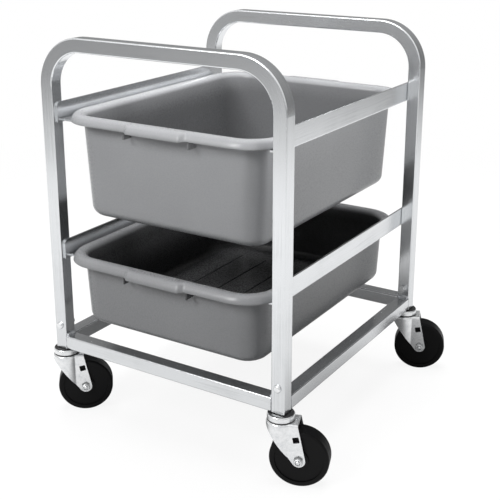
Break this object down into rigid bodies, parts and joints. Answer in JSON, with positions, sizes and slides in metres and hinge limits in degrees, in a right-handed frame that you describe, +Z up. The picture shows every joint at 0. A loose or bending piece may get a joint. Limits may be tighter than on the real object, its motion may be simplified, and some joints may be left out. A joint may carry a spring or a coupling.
{
  "type": "lug rack",
  "caption": "Rolling aluminium lug rack: bent square-tube hoops joined by rails and angle slides that carry moulded tubs, on swivel stem casters.",
  "frame": {"origin": "on the floor, under the centre of the tube frame", "axes": "+Z up, +X to the right and +Y to the back, seen from the front hoop"},
  "size_m": [0.5779, 0.6002, 0.7142],
  "materials": {
    "frame_tube": "satin drawn tube",
    "weld_bead": "as welded",
    "slide_angle": "satin extruded angle",
    "lug_plastic": "moulded, faint grain, soft sheen",
    "zinc_plate": "bright zinc plate",
    "bearing_steel": "polished, oiled",
    "wheel_black": "smooth, semi-matte"
  },
  "bodies": {
    "frame": {"front_hoop": "frame_tube", "rear_hoop": "frame_tube", "front_rail": "frame_tube", "rear_rail": "frame_tube", "left_rail": "frame_tube", "right_rail": "frame_tube", "weld_beads": "weld_bead", "upper_left_slide": "slide_angle", "upper_right_slide": "slide_angle", "lower_left_slide": "slide_angle", "lower_right_slide": "slide_angle", "stem_bolts": "zinc_plate", "stem_nuts": "zinc_plate", "front_left_stem": "zinc_plate", "front_left_bearing_balls": "bearing_steel", "front_left_retainer": "zinc_plate", "front_right_stem": "zinc_plate", "front_right_bearing_balls": "bearing_steel", "front_right_retainer": "zinc_plate", "rear_left_stem": "zinc_plate", "rear_left_bearing_balls": "bearing_steel", "rear_left_retainer": "zinc_plate", "rear_right_stem": "zinc_plate", "rear_right_bearing_balls": "bearing_steel", "rear_right_retainer": "zinc_plate"},
    "upper_tub": {"upper_lug": "lug_plastic"},
    "lower_tub": {"lower_lug": "lug_plastic"},
    "front_left_caster": {"front_left_fork": "zinc_plate", "front_left_axle_sleeve": "bearing_steel", "front_left_axle_bolt": "zinc_plate", "front_left_axle_nut": "zinc_plate"},
    "front_left_roller": {"front_left_wheel": "wheel_black"},
    "front_right_caster": {"front_right_fork": "zinc_plate", "front_right_axle_sleeve": "bearing_steel", "front_right_axle_bolt": "zinc_plate", "front_right_axle_nut": "zinc_plate"},
    "front_right_roller": {"front_right_wheel": "wheel_black"},
    "rear_left_caster": {"rear_left_fork": "zinc_plate", "rear_left_axle_sleeve": "bearing_steel", "rear_left_axle_bolt": "zinc_plate", "rear_left_axle_nut": "zinc_plate"},
    "rear_left_roller": {"rear_left_wheel": "wheel_black"},
    "rear_right_caster": {"rear_right_fork": "zinc_plate", "rear_right_axle_sleeve": "bearing_steel", "rear_right_axle_bolt": "zinc_plate", "rear_right_axle_nut": "zinc_plate"},
    "rear_right_roller": {"rear_right_wheel": "wheel_black"}
  },
  "joints": [
    {"name": "upper_lug_slide", "type": "slide", "parent": "frame", "child": "upper_tub", "axis": [0, -1, 0], "range_m": [-0.24, 0.24]},
    {"name": "lower_lug_slide", "type": "slide", "parent": "frame", "child": "lower_tub", "axis": [0, -1, 0], "range_m": [-0.24, 0.24]},
    {"name": "front_left_swivel", "type": "hinge", "parent": "frame", "child": "front_left_caster", "pos_m": [-0.23495, -0.254, 0.116], "axis": [0, 0, 1], "continuous": true},
    {"name": "front_left_spin", "type": "hinge", "parent": "front_left_caster", "child": "front_left_roller", "pos_m": [-0.20967, -0.23279, 0.0508], "axis": [-0.6428, 0.766, 0], "continuous": true},
    {"name": "front_right_swivel", "type": "hinge", "parent": "frame", "child": "front_right_caster", "pos_m": [0.23495, -0.254, 0.116], "axis": [0, 0, 1], "continuous": true},
    {"name": "front_right_spin", "type": "hinge", "parent": "front_right_caster", "child": "front_right_roller", "pos_m": [0.26596, -0.24271, 0.0508], "axis": [-0.342, 0.9397, 0], "continuous": true},
    {"name": "rear_left_swivel", "type": "hinge", "parent": "frame", "child": "rear_left_caster", "pos_m": [-0.23495, 0.254, 0.116], "axis": [0, 0, 1], "continuous": true},
    {"name": "rear_left_spin", "type": "hinge", "parent": "rear_left_caster", "child": "rear_left_roller", "pos_m": [-0.20637, 0.2705, 0.0508], "axis": [-0.5, 0.866, 0], "continuous": true},
    {"name": "rear_right_swivel", "type": "hinge", "parent": "frame", "child": "rear_right_caster", "pos_m": [0.23495, 0.254, 0.116], "axis": [0, 0, 1], "continuous": true},
    {"name": "rear_right_spin", "type": "hinge", "parent": "rear_right_caster", "child": "rear_right_roller", "pos_m": [0.26555, 0.26636, 0.0508], "axis": [-0.3746, 0.9272, 0], "continuous": true}
  ]
}
